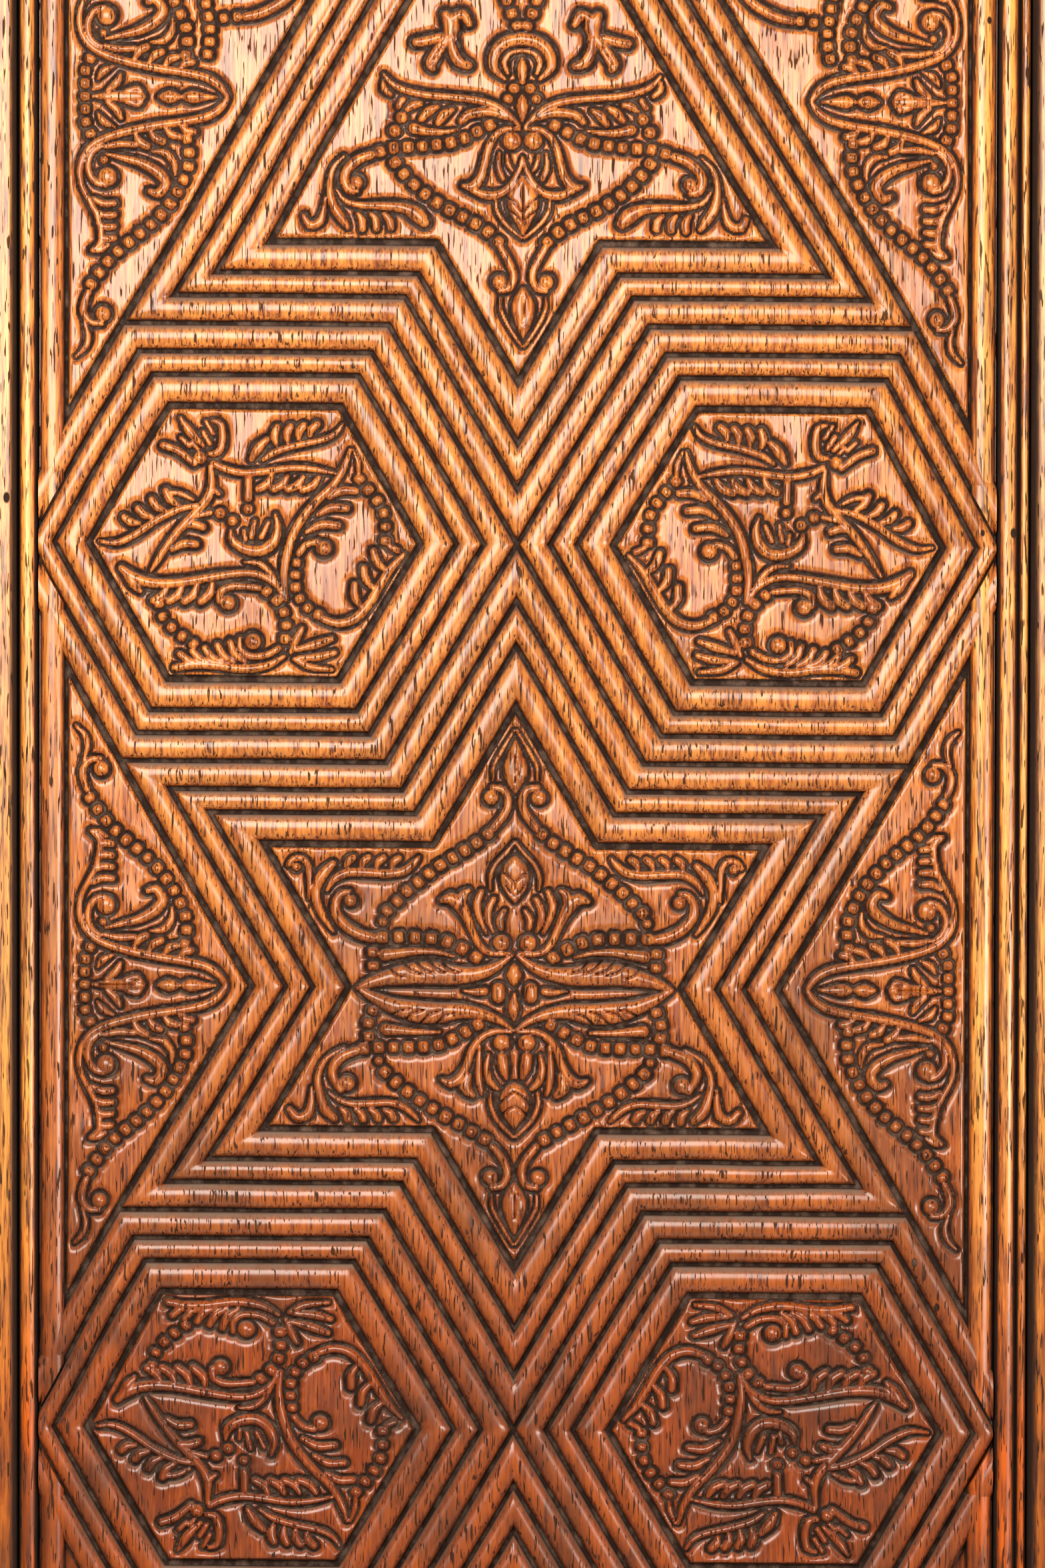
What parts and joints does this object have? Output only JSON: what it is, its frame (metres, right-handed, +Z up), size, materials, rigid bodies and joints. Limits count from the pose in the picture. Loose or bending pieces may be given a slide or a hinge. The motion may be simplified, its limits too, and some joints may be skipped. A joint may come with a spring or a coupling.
{
  "type": "carved wooden panel",
  "caption": "Carved hardwood panel with star and hexagon strapwork and leaf scrolls, held between two stiles by pinned bead mouldings",
  "frame": {"origin": "on the flat back, on the axis of the pattern, at half the length", "axes": "+X to the right seen from the carved front, +Z up along the panel, the carved front faces -Y"},
  "size_m": [0.48, 0.027, 0.6],
  "materials": {
    "carved_wood": "satin",
    "moulding_wood": "satin",
    "stile_wood": "satin"
  },
  "bodies": {
    "root": {"carved_panel": "carved_wood", "left_moulding": "moulding_wood", "right_moulding": "moulding_wood", "left_stile": "stile_wood", "right_stile": "stile_wood"}
  },
  "joints": []
}
